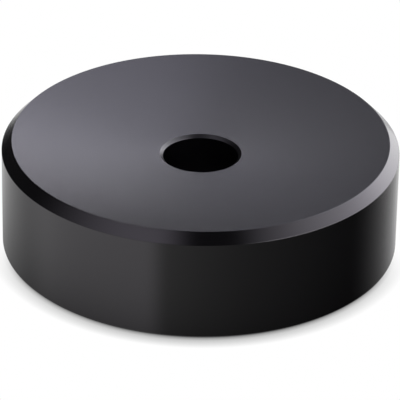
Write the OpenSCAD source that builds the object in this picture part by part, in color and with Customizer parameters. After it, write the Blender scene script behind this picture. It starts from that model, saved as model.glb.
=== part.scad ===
// Spindle adapter for records with a large centre hole
// One turned aluminium puck: a dished top, a chamfered rim and a bore for the spindle
// Sizes are in millimetres, the foot rests on Z = 0 and the bore runs along Z

/* [Puck] */
// Outer diameter, a clearance fit in the record's 38.2 mm centre hole
outer_d = 38; // [30:0.1:60]
// Height from the foot to the rim
height = 10.75; // [6:0.25:20]

/* [Outer edges] */
// Width of the 45 degree chamfer round the rim
rim_chamfer = 0.95; // [0.2:0.05:3]
// Width of the 45 degree break round the foot
foot_break = 0.2; // [0.05:0.05:1]

/* [Dished top] */
// Depth of the dish below the rim, where it meets the countersink of the bore
dish_depth = 1.55; // [0.5:0.05:4]

/* [Spindle bore] */
// Diameter of the bore, a running fit on the 7.15 mm spindle
bore_d = 7.2; // [7.15:0.05:12]
// Width of the 45 degree countersink at the dish
bore_countersink = 0.3; // [0.1:0.05:1]
// Width of the 45 degree lead-in at the foot, where the spindle enters
bore_lead_in = 0.4; // [0.1:0.05:1.5]

/* [Hidden] */

// Segments of a full circle
segments = 240;
// How far a cut reaches past the surface that it opens
cut_past = 1;

outer_r = outer_d / 2;
bore_r = bore_d / 2;

// The dish is a shallow part of a sphere through two circles: the inner edge of the rim
// chamfer at the full height, and the mouth of the countersink at the dish depth
dish_edge_r = outer_r - rim_chamfer;
countersink_mouth_r = bore_r + bore_countersink;
dish_floor_z = height - dish_depth;
dish_centre_above_rim =
    (dish_edge_r ^ 2 - countersink_mouth_r ^ 2 - dish_depth ^ 2) / (2 * dish_depth);
dish_sphere_r = norm([dish_edge_r, dish_centre_above_rim]);

// Outline of the blank from the axis to the outside, before the dish and the bore are cut
// The chamfer runs on past the rim, so that the dish meets it in one clean edge
blank_outline = [
    [0, 0],
    [outer_r - foot_break, 0],
    [outer_r, foot_break],
    [outer_r, height - rim_chamfer],
    [dish_edge_r - cut_past, height + cut_past],
    [0, height + cut_past],
];

// The turned blank with its rim chamfer and foot break
module blank() {
    rotate_extrude($fn = segments) polygon(blank_outline);
}

// The ball that cuts the dish into the top
module dish_cutter() {
    translate([0, 0, height + dish_centre_above_rim]) sphere(r = dish_sphere_r, $fn = segments);
}

// A 45 degree cone that widens a bore of radius r by width at the level z, opening upwards
module edge_cone(r, width) {
    reach = width + cut_past;
    cylinder(r1 = r, r2 = r + reach, h = reach, $fn = segments);
}

// The through bore with its countersink at the dish and its lead-in at the foot
module bore_cutter() {
    translate([0, 0, -cut_past]) cylinder(r = bore_r, h = height + 2 * cut_past, $fn = segments);
    translate([0, 0, dish_floor_z - bore_countersink]) edge_cone(bore_r, bore_countersink);
    translate([0, 0, bore_lead_in]) mirror([0, 0, 1]) edge_cone(bore_r, bore_lead_in);
}

module adapter_body() {
    color("#26252a") difference() {
        blank();
        dish_cutter();
        bore_cutter();
    }
}

adapter_body();
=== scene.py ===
"""A black anodised record spindle adapter on a pale floor, in soft studio light.

The puck is one turned piece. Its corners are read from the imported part's own rings, its edges
are broken and its surfaces get the finish that each one's tool leaves. The studio is a white
surround. A key box, two lamps, a dark tent and its sills, and two low cards stand in it for
reflections alone.
"""

import logging
import math
from dataclasses import dataclass, field
from enum import Enum

import bmesh
import bpy
from mathutils import Matrix, Vector


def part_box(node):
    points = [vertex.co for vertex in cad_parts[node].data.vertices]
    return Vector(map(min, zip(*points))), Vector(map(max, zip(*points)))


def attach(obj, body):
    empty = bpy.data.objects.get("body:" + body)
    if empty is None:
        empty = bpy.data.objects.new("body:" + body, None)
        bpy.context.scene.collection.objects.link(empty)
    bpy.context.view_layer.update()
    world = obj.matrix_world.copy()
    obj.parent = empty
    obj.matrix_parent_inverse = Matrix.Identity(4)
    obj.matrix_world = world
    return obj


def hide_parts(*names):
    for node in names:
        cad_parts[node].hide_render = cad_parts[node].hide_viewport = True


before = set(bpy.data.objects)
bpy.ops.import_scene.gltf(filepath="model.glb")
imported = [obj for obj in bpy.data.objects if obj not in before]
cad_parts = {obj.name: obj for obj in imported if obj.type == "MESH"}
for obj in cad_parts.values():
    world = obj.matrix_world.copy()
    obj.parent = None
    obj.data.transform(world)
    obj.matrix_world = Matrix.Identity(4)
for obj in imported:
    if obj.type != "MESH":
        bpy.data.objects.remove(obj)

log = logging.getLogger("record_adapter")

MM = 0.001
QUARTER_TURN = 0.25
PART = "adapter_body"
BODY = "root"

Socket = bpy.types.NodeSocket
Colour = tuple[float, float, float]


class Zone(Enum):
    """The turned surfaces of the puck, in the order of its material slots."""

    DISH = 0
    RIM = 1
    SIDE = 2
    FOOT = 3
    BORE = 4
    SINK = 5


class MarkRun(Enum):
    """Which way the fine marks of a tool follow each other."""

    OUTWARDS = "outwards"
    UPWARDS = "upwards"


class Board:
    """Adds nodes to one shader tree and links them."""

    def __init__(self, tree: bpy.types.NodeTree) -> None:
        """Takes over a tree and empties it.

        Args:
            tree: The node tree of a material or of the world.
        """
        self.tree = tree
        tree.nodes.clear()

    def feed(self, socket: Socket, value: Socket | float | tuple[float, ...]) -> None:
        """Links an input to an output, or sets its value.

        Args:
            socket: The input to feed.
            value: An output to link, or a plain value.
        """
        if isinstance(value, bpy.types.NodeSocket):
            self.tree.links.new(value, socket)
        else:
            socket.default_value = value

    def add(self, kind: str, inputs: dict[str, Socket | float | tuple[float, ...]]) -> bpy.types.Node:
        """Adds a node.

        Args:
            kind: Type of the node.
            inputs: What its inputs get, by their names.

        Returns:
            The node.
        """
        node = self.tree.nodes.new(kind)
        for name, value in inputs.items():
            self.feed(node.inputs[name], value)
        return node

    def math(self, operation: str, first: Socket | float, second: Socket | float) -> Socket:
        """Adds a sum with two values.

        Args:
            operation: What is done with them.
            first: The first value.
            second: The second value.

        Returns:
            The result.
        """
        node = self.tree.nodes.new("ShaderNodeMath")
        node.operation = operation
        self.feed(node.inputs[0], first)
        self.feed(node.inputs[1], second)
        return node.outputs["Value"]

    def blend(self, share: Socket, none: Socket | float, full: Socket | float) -> Socket:
        """Adds a blend of two values.

        Args:
            share: How much of the second one is in it.
            none: The value at a share of 0.
            full: The value at a share of 1.

        Returns:
            The result.
        """
        node = self.add("ShaderNodeMapRange", {"Value": share, "To Min": none, "To Max": full})
        return node.outputs["Result"]

    def rise(self, value: Socket, start: float, end: float) -> Socket:
        """Adds a smooth rise from 0 to 1.

        Args:
            value: The value that it follows.
            start: Where it leaves 0.
            end: Where it reaches 1.

        Returns:
            The result.
        """
        node = self.add("ShaderNodeMapRange", {"Value": value, "From Min": start, "From Max": end})
        node.interpolation_type = "SMOOTHSTEP"
        return node.outputs["Result"]

    def mix_shaders(self, share: Socket, none: Socket, full: Socket) -> Socket:
        """Adds a mix of two shaders.

        Args:
            share: How much of the second one is in it.
            none: The shader at a share of 0.
            full: The shader at a share of 1.

        Returns:
            The mixed shader.
        """
        node = self.add("ShaderNodeMixShader", {"Fac": share})
        self.feed(node.inputs[1], none)
        self.feed(node.inputs[2], full)
        return node.outputs["Shader"]

    def finish(self, output: str, shader: Socket) -> None:
        """Adds the output node.

        Args:
            output: Type of the output node.
            shader: The shader that it shows.
        """
        self.add(output, {"Surface": shader})


@dataclass
class TurnedOutline:
    """The corners of the puck in its half section, in metres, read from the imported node.

    Attributes:
        bore_r: Radius of the bore.
        bore_low: Level where the lead-in of the bore ends.
        bore_high: Level where the countersink begins.
        lead_in_r: Radius of the lead-in at the foot.
        foot_r: Outer radius of the flat foot.
        outer_r: Radius of the side.
        side_low: Level where the side begins, above the foot break.
        side_high: Level where the side ends, below the rim chamfer.
        rim_r: Radius of the rim, where the chamfer meets the dish.
        rim_z: Level of the rim, the highest part of the puck.
        mouth_r: Radius of the countersink's mouth, in the dish.
        mouth_z: Level of the countersink's mouth.
    """

    bore_r: float
    bore_low: float
    bore_high: float
    lead_in_r: float
    foot_r: float
    outer_r: float
    side_low: float
    side_high: float
    rim_r: float
    rim_z: float
    mouth_r: float
    mouth_z: float

    @classmethod
    def from_node(cls, node: str) -> "TurnedOutline":
        """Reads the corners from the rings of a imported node.

        Args:
            node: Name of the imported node.

        Returns:
            The outline of that node's half section.
        """
        near = 0.02 * MM
        rings = [(math.hypot(v.co.x, v.co.y), v.co.z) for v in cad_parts[node].data.vertices]
        outer_r = max(r for r, _ in rings)
        bore_r = min(r for r, _ in rings)
        rim_z = max(z for _, z in rings)
        side = [z for r, z in rings if outer_r - r < near]
        bore = [z for r, z in rings if r - bore_r < near]
        foot = [r for r, z in rings if z < near]
        rim = [r for r, z in rings if rim_z - z < near]
        mouth_r, mouth_z = min((r, z) for r, z in rings if r > bore_r + near and z > max(bore) + near)
        return cls(
            bore_r=bore_r, bore_low=min(bore), bore_high=max(bore), lead_in_r=min(foot),
            foot_r=max(foot), outer_r=outer_r, side_low=min(side), side_high=max(side),
            rim_r=max(rim), rim_z=rim_z, mouth_r=mouth_r, mouth_z=mouth_z,
        )

    def corners(self) -> list[tuple[float, float]]:
        """The corners as radius and level, from the countersink's mouth down round to the rim."""
        return [
            (self.mouth_r, self.mouth_z), (self.bore_r, self.bore_high), (self.bore_r, self.bore_low),
            (self.lead_in_r, 0.0), (self.foot_r, 0.0), (self.outer_r, self.side_low),
            (self.outer_r, self.side_high), (self.rim_r, self.rim_z),
        ]

    def dish_centre_z(self) -> float:
        """Level of the centre of the sphere that the dish is part of."""
        drop = self.rim_z - self.mouth_z
        return self.rim_z + (self.rim_r**2 - self.mouth_r**2 - drop**2) / (2 * drop)

    def dish_angle(self) -> float:
        """Angle of the dish's arc from the rim to the countersink, seen from the sphere's centre."""
        centre = self.dish_centre_z()
        at_rim = math.atan2(self.rim_r, centre - self.rim_z)
        return at_rim - math.atan2(self.mouth_r, centre - self.mouth_z)


@dataclass(frozen=True)
class ToolMarks:
    """Rings that a cutting tool leaves in a turned surface.

    Attributes:
        pitch: Distance between rings, in metres.
        depth: Depth of the rings, in metres.
    """

    pitch: float
    depth: float


@dataclass(frozen=True)
class TurnedFinish:
    """Black anodised aluminium as one cutting tool leaves it.

    The dyed skin is almost black in itself, so the grey that it shows is what it reflects.

    Attributes:
        name: Name of the material.
        run: Which way the tool marks follow each other.
        roughness: Roughness of the oxide skin.
        spread: How much further light spreads across the tool marks than along them, 0 to 1.
        marks: The layers of rings in the surface.
        skin: Colour of the dyed oxide.
        index: Refractive index of the oxide.
        sheen_tint: Tint of what the skin reflects when it is looked at straight.
    """

    name: str
    run: MarkRun
    roughness: float
    spread: float
    marks: tuple[ToolMarks, ...]
    skin: Colour = (0.0015, 0.0014, 0.0018)
    index: float = 1.71
    sheen_tint: Colour = (0.90, 0.875, 1.0)

    def material(self) -> bpy.types.Material:
        """Makes the procedural material.

        Returns:
            The material, with its marks as bump on object coordinates.
        """
        made = bpy.data.materials.new(self.name)
        made.use_nodes = True
        board = Board(made.node_tree)
        skin = board.add("ShaderNodeBsdfPrincipled", {
            "Base Color": (*self.skin, 1.0), "IOR": self.index, "Roughness": self.roughness,
            "Anisotropic": self.spread, "Anisotropic Rotation": QUARTER_TURN,
            "Specular Tint": (*self.sheen_tint, 1.0),
        })
        place = self._place(board)
        normal = None
        for layer in self.marks:
            normal = self._rings(board, place, layer, normal)
        board.feed(skin.inputs["Normal"], normal)
        board.finish("ShaderNodeOutputMaterial", skin.outputs["BSDF"])
        return made

    def _place(self, board: Board) -> Socket:
        """Adds the nodes that measure the way across the tool marks.

        Args:
            board: The board of the material.

        Returns:
            The radius or the height, in metres.
        """
        where = board.add("ShaderNodeTexCoord", {}).outputs["Object"]
        split = board.add("ShaderNodeSeparateXYZ", {"Vector": where})
        if self.run is MarkRun.UPWARDS:
            return split.outputs["Z"]
        flat = board.add("ShaderNodeCombineXYZ", {"X": split.outputs["X"], "Y": split.outputs["Y"]})
        length = board.add("ShaderNodeVectorMath", {})
        length.operation = "LENGTH"
        board.feed(length.inputs[0], flat.outputs["Vector"])
        return length.outputs["Value"]

    @staticmethod
    def _rings(board: Board, place: Socket, layer: ToolMarks, under: Socket | None) -> Socket:
        """Adds one layer of rings as bump.

        Args:
            board: The board of the material.
            place: The way across the rings, in metres.
            layer: The rings.
            under: Normal of the layer below, or None.

        Returns:
            The bumped normal.
        """
        noise = board.add("ShaderNodeTexNoise", {})
        noise.noise_dimensions = "1D"
        board.feed(noise.inputs["W"], board.math("DIVIDE", place, layer.pitch))
        board.feed(noise.inputs["Scale"], 1.0)
        board.feed(noise.inputs["Detail"], 1.0)
        bump = board.add("ShaderNodeBump", {"Distance": layer.depth, "Height": noise.outputs["Fac"]})
        if under is not None:
            board.feed(bump.inputs["Normal"], under)
        return bump.outputs["Normal"]


FINE_MARKS = ToolMarks(pitch=0.11 * MM, depth=0.0001 * MM)
SLOW_WAVES = ToolMarks(pitch=3.2 * MM, depth=0.0015 * MM)
FACED = (SLOW_WAVES, FINE_MARKS)
SMOOTH = (SLOW_WAVES,)


@dataclass
class Puck:
    """The turned aluminium puck.

    Attributes:
        outline: Corners of its half section.
        edge_break: Width of the tiny break on each turned edge, in metres.
        break_steps: Facets across each edge break.
        support: Distance from an edge break to the ring that keeps the shading flat beside it.
        dish_steps: Rings of faces across the dish.
        turns: Faces round the puck.
        finishes: The finish of each zone.
    """

    outline: TurnedOutline
    edge_break: float = 0.012 * MM
    break_steps: int = 3
    support: float = 0.012 * MM
    dish_steps: int = 30
    turns: int = 288
    finishes: dict[Zone, TurnedFinish] = field(default_factory=lambda: {
        Zone.DISH: TurnedFinish(
            "faced_dish", run=MarkRun.OUTWARDS, roughness=0.235, spread=0.7, marks=FACED,
            index=1.79, sheen_tint=(0.765, 0.73, 1.0),
        ),
        Zone.RIM: TurnedFinish(
            "cut_chamfer", run=MarkRun.UPWARDS, roughness=0.15, spread=0.2, marks=SMOOTH,
            sheen_tint=(0.92, 0.87, 1.0),
        ),
        Zone.SIDE: TurnedFinish(
            "turned_side", run=MarkRun.UPWARDS, roughness=0.15, spread=0.2, marks=SMOOTH,
            index=1.66, sheen_tint=(0.98, 0.94, 1.0),
        ),
        Zone.FOOT: TurnedFinish(
            "faced_foot", run=MarkRun.OUTWARDS, roughness=0.235, spread=0.7, marks=FACED,
        ),
        Zone.BORE: TurnedFinish(
            "reamed_bore", run=MarkRun.UPWARDS, roughness=0.2, spread=0.2, marks=SMOOTH,
        ),
        Zone.SINK: TurnedFinish(
            "cut_countersink", run=MarkRun.UPWARDS, roughness=0.33, spread=0.2, marks=SMOOTH,
        ),
    })

    def build(self) -> bpy.types.Object:
        """Turns the puck and dresses it.

        Returns:
            The finished piece, riding on the part's body.
        """
        shape = bmesh.new()
        self._draw_half_section(shape)
        self._turn(shape)
        mesh = bpy.data.meshes.new("turned_puck")
        shape.to_mesh(mesh)
        shape.free()
        for zone in Zone:
            mesh.materials.append(self.finishes[zone].material())
        piece = bpy.data.objects.new("turned_puck", mesh)
        bpy.context.collection.objects.link(piece)
        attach(piece, BODY)
        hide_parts(PART)
        return piece

    def _draw_half_section(self, shape: bmesh.types.BMesh) -> None:
        """Draws the closed half section in the XZ plane, with its edges broken.

        Args:
            shape: The mesh to draw it in.
        """
        weld = 0.001 * MM
        round_profile = 0.5
        short, long = 2 * self.support, 3 * self.support
        o = self.outline
        points = [shape.verts.new((r, 0.0, z)) for r, z in o.corners()]
        spots = [point.co.copy() for point in points]
        for start, end in zip(points, points[1:]):
            shape.edges.new((start, end))
        bmesh.ops.spin(
            shape, geom=[points[-1]], cent=(0.0, 0.0, o.dish_centre_z()), axis=(0.0, 1.0, 0.0),
            angle=o.dish_angle(), steps=self.dish_steps, use_duplicate=False,
        )
        bmesh.ops.remove_doubles(shape, verts=shape.verts[:], dist=weld)
        turned_edges = [v for v in shape.verts if min((v.co - spot).length for spot in spots) < weld]
        bmesh.ops.bevel(
            shape, geom=turned_edges, offset=self.edge_break, segments=self.break_steps,
            profile=round_profile, affect="VERTICES", material=-1,
        )
        for edge in [e for e in shape.edges if e.calc_length() > long]:
            for end in edge.verts[:]:
                if min(e.calc_length() for e in end.link_edges) < short:
                    bmesh.utils.edge_split(edge, end, self.support / edge.calc_length())

    def _turn(self, shape: bmesh.types.BMesh) -> None:
        """Spins the half section into the closed puck.

        Args:
            shape: The mesh that holds the section.
        """
        weld = 0.0001 * MM
        bmesh.ops.spin(
            shape, geom=shape.edges[:] + shape.verts[:], cent=(0.0, 0.0, 0.0), axis=(0.0, 0.0, 1.0),
            angle=math.tau, steps=self.turns, use_merge=True, use_duplicate=False,
        )
        bmesh.ops.remove_doubles(shape, verts=shape.verts[:], dist=weld)
        bmesh.ops.recalc_face_normals(shape, faces=shape.faces[:])
        for face in shape.faces:
            face.smooth = True
            face.material_index = self._zone(face.calc_center_median()).value

    def _zone(self, spot: Vector) -> Zone:
        """Tells which turned surface a spot lies on.

        Args:
            spot: A point on the puck.

        Returns:
            The zone of that point.
        """
        o = self.outline
        radius = spot.xy.length
        if spot.z < self.edge_break:
            return Zone.FOOT
        if radius < o.mouth_r:
            return Zone.SINK if spot.z > o.bore_high else Zone.BORE
        if radius < o.rim_r:
            return Zone.DISH
        return Zone.RIM if spot.z > o.side_high else Zone.SIDE


def stage_object(name: str, shape: bmesh.types.BMesh, material: bpy.types.Material) -> bpy.types.Object:
    """Makes an object of the stage.

    Args:
        name: Name of the object.
        shape: Its shape, which is freed.
        material: Its material.

    Returns:
        The object.
    """
    mesh = bpy.data.meshes.new(name)
    shape.to_mesh(mesh)
    shape.free()
    mesh.materials.append(material)
    made = bpy.data.objects.new(name, mesh)
    bpy.context.collection.objects.link(made)
    return made


@dataclass(frozen=True)
class Glow:
    """How bright a card is over its face, where 1 is white.

    Attributes:
        low: Brightness of the lower edge, at its start and its end.
        high: Brightness of the upper edge, at its start and its end.
        run: How early the brightness changes from start to end, where 1 is evenly.
        climb: How early it changes from the lower to the upper edge, where 1 is evenly.
    """

    low: tuple[float, float]
    high: tuple[float, float]
    run: float = 1.0
    climb: float = 1.0

    @classmethod
    def even(cls, level: float) -> "Glow":
        """A glow of the same brightness all over."""
        return cls((level, level), (level, level))


@dataclass(frozen=True)
class Card:
    """A soft-edged card that bends round the puck and that only reflections see.

    Attributes:
        name: Name of the card.
        azimuths: Where it starts and ends round the puck, in degrees from the right, over the back.
        elevations: Where it starts and ends above the floor, in degrees.
        glow: Its brightness.
        distance: How far off it stands, in metres.
        soft: Width of its soft edges at the start, end, bottom and top, in degrees.
        tint: Colour of its light.
        cell: Largest width of its faces, in degrees.
    """

    name: str
    azimuths: tuple[float, float]
    elevations: tuple[float, float]
    glow: Glow
    distance: float
    soft: tuple[float, float, float, float] = (0.0, 0.0, 0.0, 0.0)
    tint: Colour = (1.0, 1.0, 1.0)
    cell: float = 4.0

    def build(self, centre: Vector) -> bpy.types.Object:
        """Makes the card and hides it from all but reflections.

        Args:
            centre: The point that the card bends round.

        Returns:
            The card.
        """
        width, height = self._size()
        shape = bmesh.new()
        shape.loops.layers.uv.new("card")
        bmesh.ops.create_grid(
            shape, x_segments=math.ceil(width / self.cell), y_segments=math.ceil(height / self.cell),
            size=1.0, calc_uvs=True,
        )
        for v in shape.verts:
            azimuth = math.radians(self.azimuths[0] + width * (v.co.x + 1) / 2)
            elevation = math.radians(self.elevations[0] + height * (v.co.y + 1) / 2)
            level = math.cos(elevation)
            aim = Vector((level * math.cos(azimuth), level * math.sin(azimuth), math.sin(elevation)))
            v.co = centre + aim * self.distance
        card = stage_object(self.name, shape, self._material())
        card.visible_camera = False
        card.visible_diffuse = False
        card.visible_shadow = False
        return card

    def _size(self) -> tuple[float, float]:
        """Width and height of the card, in degrees."""
        return self.azimuths[1] - self.azimuths[0], self.elevations[1] - self.elevations[0]

    def _material(self) -> bpy.types.Material:
        """Makes the card's material, a glow that fades out at its edges.

        Returns:
            The material.
        """
        made = bpy.data.materials.new(self.name)
        made.use_nodes = True
        board = Board(made.node_tree)
        place = board.tree.nodes.new("ShaderNodeUVMap")
        place.uv_map = "card"
        split = board.add("ShaderNodeSeparateXYZ", {"Vector": place.outputs["UV"]})
        across, up = split.outputs["X"], split.outputs["Y"]
        start, end, bottom, top = self.soft
        width, height = self._size()
        cover = board.math(
            "MULTIPLY", self._fade(board, across, start / width, end / width),
            self._fade(board, up, bottom / height, top / height),
        )
        run = board.math("POWER", board.math("SUBTRACT", 1.0, across), self.glow.run)
        climb = board.math("POWER", board.math("SUBTRACT", 1.0, up), self.glow.climb)
        low = board.blend(run, self.glow.low[1], self.glow.low[0])
        high = board.blend(run, self.glow.high[1], self.glow.high[0])
        light = board.add("ShaderNodeEmission", {
            "Color": (*self.tint, 1.0), "Strength": board.blend(climb, high, low),
        })
        gap = board.add("ShaderNodeBsdfTransparent", {})
        mixed = board.mix_shaders(cover, gap.outputs["BSDF"], light.outputs["Emission"])
        board.finish("ShaderNodeOutputMaterial", mixed)
        return made

    @staticmethod
    def _fade(board: Board, way: Socket, first: float, last: float) -> Socket:
        """Adds the nodes that fade a card out at two opposite edges.

        Args:
            board: The board of the card's material.
            way: Socket that runs from 0 to 1 between the edges.
            first: Width of the fade at 0, as a share of the way.
            last: Width of the fade at 1, as a share of the way.

        Returns:
            The cover of the card between these edges.
        """
        hard = 0.0001
        enter = board.rise(way, 0.0, max(first, hard))
        leave = board.rise(board.math("SUBTRACT", 1.0, way), 0.0, max(last, hard))
        return board.math("MULTIPLY", enter, leave)


@dataclass(frozen=True)
class Shade:
    """Soft shade of the puck, painted into the floor from its ambient occlusion.

    Attributes:
        reach: How far the shade reaches, in metres.
        azimuth: Where the light that this painted shade stands in for comes from, in degrees from the
            right, over the back.
        lean: How far that light leans from the vertical, in degrees.
        power: How quickly the painted shade darkens towards the puck.
    """

    reach: float
    azimuth: float
    lean: float
    power: float

    def add(self, board: Board) -> Socket:
        """Adds the nodes of the painted shade.

        Args:
            board: The board of the floor's material.

        Returns:
            The painted brightness that is left, from 0 to 1.
        """
        lean, turn = math.radians(self.lean), math.radians(self.azimuth)
        towards = board.add("ShaderNodeCombineXYZ", {
            "X": math.sin(lean) * math.cos(turn),
            "Y": math.sin(lean) * math.sin(turn),
            "Z": math.cos(lean),
        })
        # Painted shade: the open share of a hemisphere leaning this way stands in for a shadow; no lamp
        # casts it.
        open_share = board.add("ShaderNodeAmbientOcclusion", {
            "Distance": self.reach, "Normal": towards.outputs["Vector"],
        })
        return board.math("POWER", open_share.outputs["AO"], self.power)


@dataclass
class Floor:
    """The white floor, with the soft shade of the puck painted into it.

    Attributes:
        radius: Radius of the floor, in metres.
        sides: Sides of the floor's outline.
        contact: The dark line painted where the camera sees the foot.
        soft: The soft shade painted round it for the camera.
        front: How far before the middle those two painted shades begin and are full, in metres.
        wide: The shade painted into the floor that the puck's side reflects.
        paint: Brightness of the floor in indirect light.
    """

    radius: float = 0.2
    sides: int = 96
    contact: Shade = Shade(reach=0.5 * MM, azimuth=90.0, lean=30.0, power=0.36)
    soft: Shade = Shade(reach=1.8 * MM, azimuth=90.0, lean=60.0, power=0.62)
    front: tuple[float, float] = (1.0 * MM, 10.0 * MM)
    wide: Shade = Shade(reach=30 * MM, azimuth=30.0, lean=30.0, power=0.95)
    paint: float = 0.8

    def build(self) -> bpy.types.Object:
        """Makes the floor.

        Returns:
            The floor.
        """
        shape = bmesh.new()
        bmesh.ops.create_circle(shape, cap_ends=True, segments=self.sides, radius=self.radius)
        return stage_object("floor", shape, self._material())

    def _material(self) -> bpy.types.Material:
        """Makes the floor's material: white to the eye with the puck's shade painted in, and clear but
        with painted shade to reflections.

        Returns:
            The material.
        """
        made = bpy.data.materials.new("pale_floor")
        made.use_nodes = True
        board = Board(made.node_tree)
        path = board.add("ShaderNodeLightPath", {}).outputs
        where = board.add("ShaderNodeTexCoord", {}).outputs["Object"]
        split = board.add("ShaderNodeSeparateXYZ", {"Vector": where})
        # Painted shadow: the floor's own glow is darkened by the puck's ambient occlusion, and only
        # before the middle.
        before = board.rise(board.math("MULTIPLY", split.outputs["Y"], -1.0), *self.front)
        painted_shadow = board.math("MULTIPLY", self.contact.add(board), self.soft.add(board))
        seen = board.add("ShaderNodeEmission", {"Strength": board.blend(before, 1.0, painted_shadow)})
        # Painted shade in reflections: the clear floor is tinted darker by a wide ambient occlusion.
        dim = self.wide.add(board)
        grey = board.add("ShaderNodeCombineColor", {"Red": dim, "Green": dim, "Blue": dim})
        clear = board.add("ShaderNodeBsdfTransparent", {"Color": grey.outputs["Color"]})
        matt = board.add("ShaderNodeBsdfDiffuse", {"Color": (self.paint, self.paint, self.paint, 1.0)})
        reflected = board.math("MAXIMUM", path["Is Glossy Ray"], path["Is Transmission Ray"])
        indirect = board.mix_shaders(reflected, matt.outputs["BSDF"], clear.outputs["BSDF"])
        shown = board.mix_shaders(path["Is Camera Ray"], indirect, seen.outputs["Emission"])
        board.finish("ShaderNodeOutputMaterial", shown)
        return made


@dataclass
class Studio:
    """The white surround, the floor and the cards round the puck.

    Attributes:
        centre: The point that the cards bend round.
        fill: Brightness of the surround in soft light, where 1 is white.
        nadir: Elevation where the low cards begin, in degrees.
        horizon: Elevation where they end, behind the soft foot of the dark tent, in degrees.
        zenith: Elevation of the top of the tent, in degrees.
    """

    centre: Vector
    fill: float = 0.9
    nadir: float = -89.0
    horizon: float = 6.0
    zenith: float = 89.9

    def build(self) -> None:
        """Makes the surround, the floor and the cards."""
        world = bpy.data.worlds.new("studio")
        bpy.context.scene.world = world
        world.use_nodes = True
        board = Board(world.node_tree)
        path = board.add("ShaderNodeLightPath", {}).outputs
        seen = board.math(
            "MAXIMUM", path["Is Camera Ray"],
            board.math("MAXIMUM", path["Is Glossy Ray"], path["Is Transmission Ray"]),
        )
        white = board.add("ShaderNodeBackground", {
            "Color": (1.0, 1.0, 1.0, 1.0), "Strength": board.blend(seen, self.fill, 1.0),
        })
        board.finish("ShaderNodeOutputWorld", white.outputs["Background"])
        Floor().build()
        for card in self.cards():
            card.build(self.centre)
            log.info("card %s", card.name)

    def cards(self) -> list[Card]:
        """The lamps, boxes and dark cards, from the nearest to the farthest.

        Returns:
            The cards.
        """
        bottom, top = self.nadir, self.zenith
        return [
            Card(
                "side_lamp", azimuths=(135.0, 269.3), elevations=(25.4, 74.4), glow=Glow.even(2.93),
                distance=0.50, soft=(114.0, 32.5, 42.5, 46.0), tint=(1.02, 1.0, 1.03),
            ),
            Card(
                "back_lamp", azimuths=(-60.0, 113.7), elevations=(16.0, top), glow=Glow.even(1.37),
                distance=0.52, soft=(123.0, 43.5, 31.5, 0.0), tint=(0.99, 1.0, 0.95),
            ),
            Card(
                "back_sill", azimuths=(72.3, 110.0), elevations=(-8.0, 33.5), glow=Glow.even(0.02),
                distance=0.53, soft=(1.0, 20.0, 6.0, 34.0),
            ),
            Card(
                "left_sill", azimuths=(88.0, 150.5), elevations=(-24.0, 33.5), glow=Glow.even(0.02),
                distance=0.535, soft=(14.0, 38.0, 24.5, 34.0),
            ),
            Card(
                "key_box", azimuths=(-68.0, 90.3), elevations=(-13.0, 65.8),
                glow=Glow(low=(8.4, 0.55), high=(1.7, 7.3), climb=0.72),
                distance=0.54, soft=(25.7, 1.4, 2.0, 58.3),
            ),
            Card(
                "dark_tent", azimuths=(-180.0, 180.0), elevations=(-16.5, top), glow=Glow.even(0.03),
                distance=0.56, soft=(0.0, 0.0, 20.0, 0.0),
            ),
            Card(
                "low_flag", azimuths=(239.0, 454.0), elevations=(bottom, self.horizon),
                glow=Glow(low=(0.5, 0.0), high=(0.5, 0.0), run=3.4),
                distance=0.58, soft=(14.3, 88.4, 0.0, 0.0), tint=(0.975, 1.0, 0.95),
            ),
            Card(
                "low_sweep", azimuths=(44.0, 176.0), elevations=(bottom, self.horizon),
                glow=Glow(low=(1.05, 0.52), high=(1.05, 0.52), run=0.66),
                distance=0.60, soft=(3.3, 27.0, 0.0, 0.0),
            ),
        ]


@dataclass
class PhotoCamera:
    """The camera of the photograph.

    Attributes:
        target: The point that it looks at, before the picture is moved.
        elevation: Degrees above the horizon.
        distance: Distance from the target, in metres.
        lens: Focal length, in millimetres.
        sensor: Width of the sensor, in millimetres.
        roll: Degrees that it is turned to the right.
        drop: How far below the target the middle of the picture looks, in metres.
        clip: Nearest and farthest distance that it sees, in metres.
    """

    target: Vector
    elevation: float = 28.72
    distance: float = 330.8 * MM
    lens: float = 309.6
    sensor: float = 36.0
    roll: float = 0.993
    drop: float = 1.156 * MM
    clip: tuple[float, float] = (0.01, 10.0)

    def build(self) -> bpy.types.Object:
        """Makes the camera and sets it as the scene's.

        Returns:
            The camera.
        """
        rise, roll = math.radians(self.elevation), math.radians(self.roll)
        back = Vector((0.0, -math.cos(rise), math.sin(rise)))
        level_up = Vector((0.0, math.sin(rise), math.cos(rise)))
        up = level_up * math.cos(roll) - Vector((math.sin(roll), 0.0, 0.0))
        place = self.target + back * self.distance
        forward = (self.target - up * self.drop - place).normalized()
        right = forward.cross(up).normalized()
        stance = Matrix((right, right.cross(forward), -forward)).transposed().to_4x4()
        stance.translation = place
        data = bpy.data.cameras.new("photo_camera")
        data.lens = self.lens
        data.sensor_width = self.sensor
        data.clip_start, data.clip_end = self.clip
        camera = bpy.data.objects.new("photo_camera", data)
        bpy.context.collection.objects.link(camera)
        camera.matrix_world = stance
        bpy.context.scene.camera = camera
        return camera


def main() -> None:
    """Builds the puck, the studio and the camera."""
    logging.basicConfig(level=logging.INFO, format="%(name)s: %(message)s")
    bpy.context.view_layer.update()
    low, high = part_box(PART)
    middle = Vector((0.0, 0.0, (low.z + high.z) / 2))
    puck = Puck(TurnedOutline.from_node(PART)).build()
    log.info("%s: %d faces", puck.name, len(puck.data.polygons))
    Studio(middle).build()
    camera = PhotoCamera(middle).build()
    log.info("%s: %.1f mm lens", camera.name, camera.data.lens)
    bpy.context.scene.view_settings.view_transform = "Standard"


if __name__ == "__main__":
    main()
